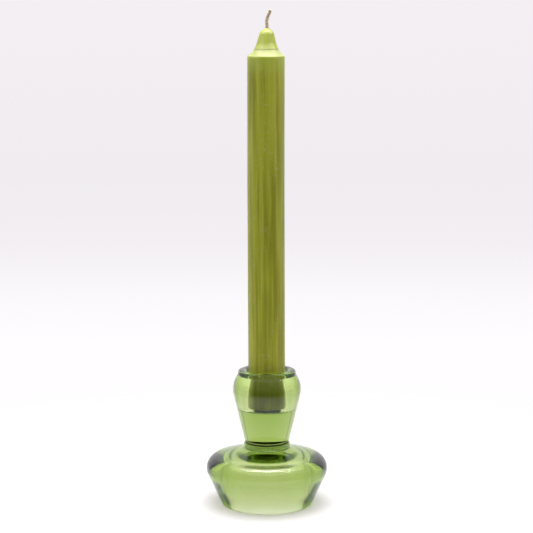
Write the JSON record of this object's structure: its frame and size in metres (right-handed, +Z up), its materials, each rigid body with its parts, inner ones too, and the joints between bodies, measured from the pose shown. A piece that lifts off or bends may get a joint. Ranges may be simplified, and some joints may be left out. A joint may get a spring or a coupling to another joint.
{
  "type": "candlestick",
  "caption": "Low green glass candlestick: hollow domed base, solid flared stem with a socket holding a tall olive dinner candle with wick, which lifts out.",
  "frame": {"origin": "middle of the foot, on the surface the candlestick stands on", "axes": "+Z up along the candle, +X to the right and +Y away from the viewer; the glass is round about Z"},
  "size_m": [0.0726, 0.0726, 0.2954],
  "materials": {
    "stem_glass": "clear bottle-green glass, fire polished, a few seeds",
    "base_glass": "clear pale green glass, blown, fire polished",
    "putty": "soft grey-blue adhesive putty, matt",
    "wax": "olive green candle wax, satin with pale scuffs",
    "cotton": "braided cotton wick, waxed"
  },
  "bodies": {
    "holder": {"candle_cup": "stem_glass", "hollow_base": "base_glass", "fixing_pad": "putty"},
    "candle": {"candle_wax": "wax", "wick": "cotton"}
  },
  "joints": [
    {"name": "candle_lift", "type": "slide", "parent": "holder", "child": "candle", "axis": [0, 0, 1], "range_m": [0, 0.04]}
  ]
}
